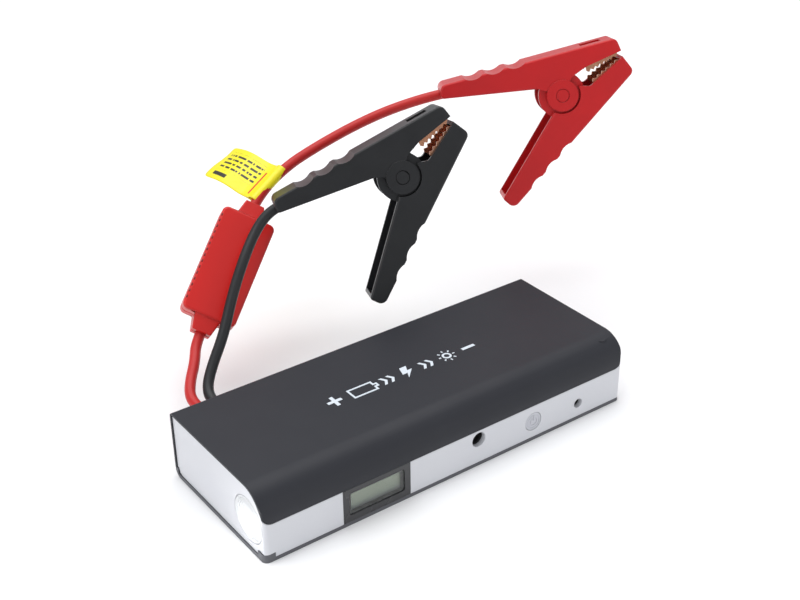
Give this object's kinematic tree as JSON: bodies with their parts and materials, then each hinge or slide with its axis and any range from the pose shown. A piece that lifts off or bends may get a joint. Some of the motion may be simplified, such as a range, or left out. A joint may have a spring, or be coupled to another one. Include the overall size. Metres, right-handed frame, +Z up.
{
  "type": "jump starter battery pack",
  "caption": "Pocket jump starter: flat battery pack with torch end, display, power button and sockets, and red and black jump leads with spring clamps.",
  "frame": {"origin": "middle of the pack's underside", "axes": "+X along the pack away from the torch end, -Y towards the front band with the display, +Z up"},
  "size_m": [0.2456, 0.1679, 0.117],
  "materials": {
    "shell": "fine matt texture, soft touch",
    "tray": "matt",
    "frame": "satin white-grey",
    "lens": "clear polycarbonate with fine rings",
    "reflector": "vacuum metallised",
    "board": "solder mask",
    "led": "phosphor",
    "bezel": "satin dark",
    "window": "clear, polished",
    "lcd": "grey-green liquid crystal",
    "backlight": "diffuser",
    "button": "satin",
    "switch": "matt",
    "socket_plastic": "matt",
    "contact": "nickel plated",
    "cell": "laminate pouch foil",
    "foam": "open foam",
    "screw": "zinc plated",
    "plug": "matt",
    "red_lead": "silicone, satin",
    "black_lead": "silicone, satin",
    "box": "satin",
    "label": "vinyl tape",
    "red_clamp": "satin",
    "black_clamp": "satin",
    "copper": "copper plated steel",
    "steel": "bright"
  },
  "bodies": {
    "pack": {"top_shell": "shell", "bottom_tray": "tray", "side_frame": "frame", "torch_lens": "lens", "torch_reflector": "reflector", "torch_board": "board", "torch_led": "led", "display_bezel": "bezel", "display_window": "window", "display_glass": "lcd", "display_backlight": "backlight", "power_switch": "switch", "output_socket": "socket_plastic", "output_pin": "contact", "charge_socket": "socket_plastic", "charge_pin": "contact", "circuit_board": "board", "battery_cell_1": "cell", "battery_cell_2": "cell", "battery_cell_3": "cell", "foam_pad": "foam", "case_screws": "screw", "jump_socket": "socket_plastic", "lead_plug": "plug", "socket_pins": "contact", "plug_contacts": "contact", "red_lead_lower": "red_lead", "red_lead_upper": "red_lead", "black_lead": "black_lead", "inline_box_front": "box", "inline_box_back": "box", "inline_board": "board", "flag_label": "label", "red_clamp_upper_arm": "red_clamp", "red_clamp_upper_jaw": "copper", "red_clamp_pin": "steel", "red_clamp_spring": "steel", "black_clamp_upper_arm": "black_clamp", "black_clamp_upper_jaw": "copper", "black_clamp_pin": "steel", "black_clamp_spring": "steel"},
    "power_button": {"power_button": "button"},
    "red_clamp_handle": {"red_clamp_lower_arm": "red_clamp", "red_clamp_lower_jaw": "copper"},
    "black_clamp_handle": {"black_clamp_lower_arm": "black_clamp", "black_clamp_lower_jaw": "copper"}
  },
  "joints": [
    {"name": "power_button_press", "type": "slide", "parent": "pack", "child": "power_button", "axis": [0, 1, 0], "range_m": [0, 0.0006], "stiffness_N_per_m": 2000, "springref_m": -0.0003},
    {"name": "red_clamp_opening", "type": "hinge", "parent": "pack", "child": "red_clamp_handle", "pos_m": [0.1307, 0.0623, 0.0923], "axis": [0.5296, 0.8155, -0.2334], "range_deg": [0, 45], "stiffness_Nm_per_rad": 0.45, "springref_deg": -20.05, "deforming": ["red_clamp_spring"]},
    {"name": "black_clamp_opening", "type": "hinge", "parent": "pack", "child": "black_clamp_handle", "pos_m": [0.0432, 0.0624, 0.077], "axis": [0.4192, 0.8595, -0.2924], "range_deg": [0, 45], "stiffness_Nm_per_rad": 0.45, "springref_deg": -20.05, "deforming": ["black_clamp_spring"]}
  ]
}
